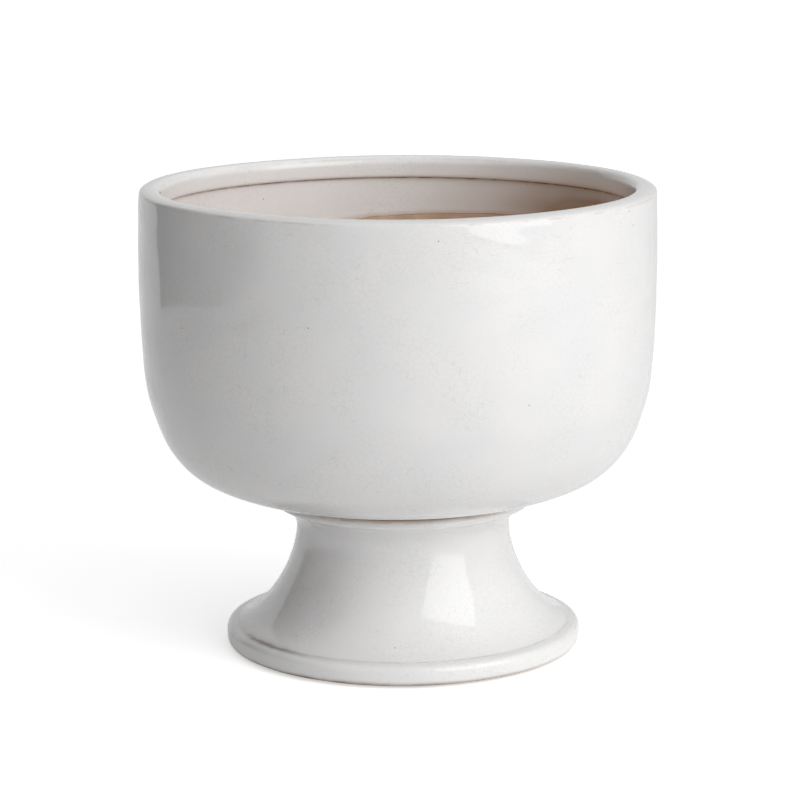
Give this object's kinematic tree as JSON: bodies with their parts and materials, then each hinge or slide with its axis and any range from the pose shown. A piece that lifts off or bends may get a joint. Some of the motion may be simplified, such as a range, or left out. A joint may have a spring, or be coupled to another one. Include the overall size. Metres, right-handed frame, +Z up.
{
  "type": "jardiniere on stand",
  "caption": "Round glazed earthenware planter bowl with a rubber drain stopper, standing by its foot ring in the recessed top of a flared hollow pedestal.",
  "frame": {"origin": "on the floor, at the common axis of stand and bowl", "axes": "+Z up along the axis of revolution; +X and +Y level, halfway between two neighbouring floor pads"},
  "size_m": [0.3036, 0.3036, 0.275],
  "materials": {
    "stand_glaze": "warm white high-gloss crackle glaze over tan earthenware, bare clay on the ground ring, the collar's top and the hollow",
    "bowl_glaze": "warm white high-gloss crackle glaze over tan earthenware, bare clay below the glaze line inside, on the floor and on the foot ring",
    "rubber": "matt black moulded rubber",
    "felt": "grey-brown pressed felt, self-adhesive"
  },
  "bodies": {
    "stand": {"stand": "stand_glaze", "foot_pad_1": "felt", "foot_pad_2": "felt", "foot_pad_3": "felt", "foot_pad_4": "felt"},
    "bowl": {"bowl": "bowl_glaze"},
    "drain_plug": {"drain_plug": "rubber"}
  },
  "joints": [
    {"name": "bowl_lift", "type": "slide", "parent": "stand", "child": "bowl", "axis": [0, 0, 1], "range_m": [0, 0.2]},
    {"name": "plug_lift", "type": "slide", "parent": "bowl", "child": "drain_plug", "axis": [0, 0, 1], "range_m": [0, 0.2]}
  ]
}
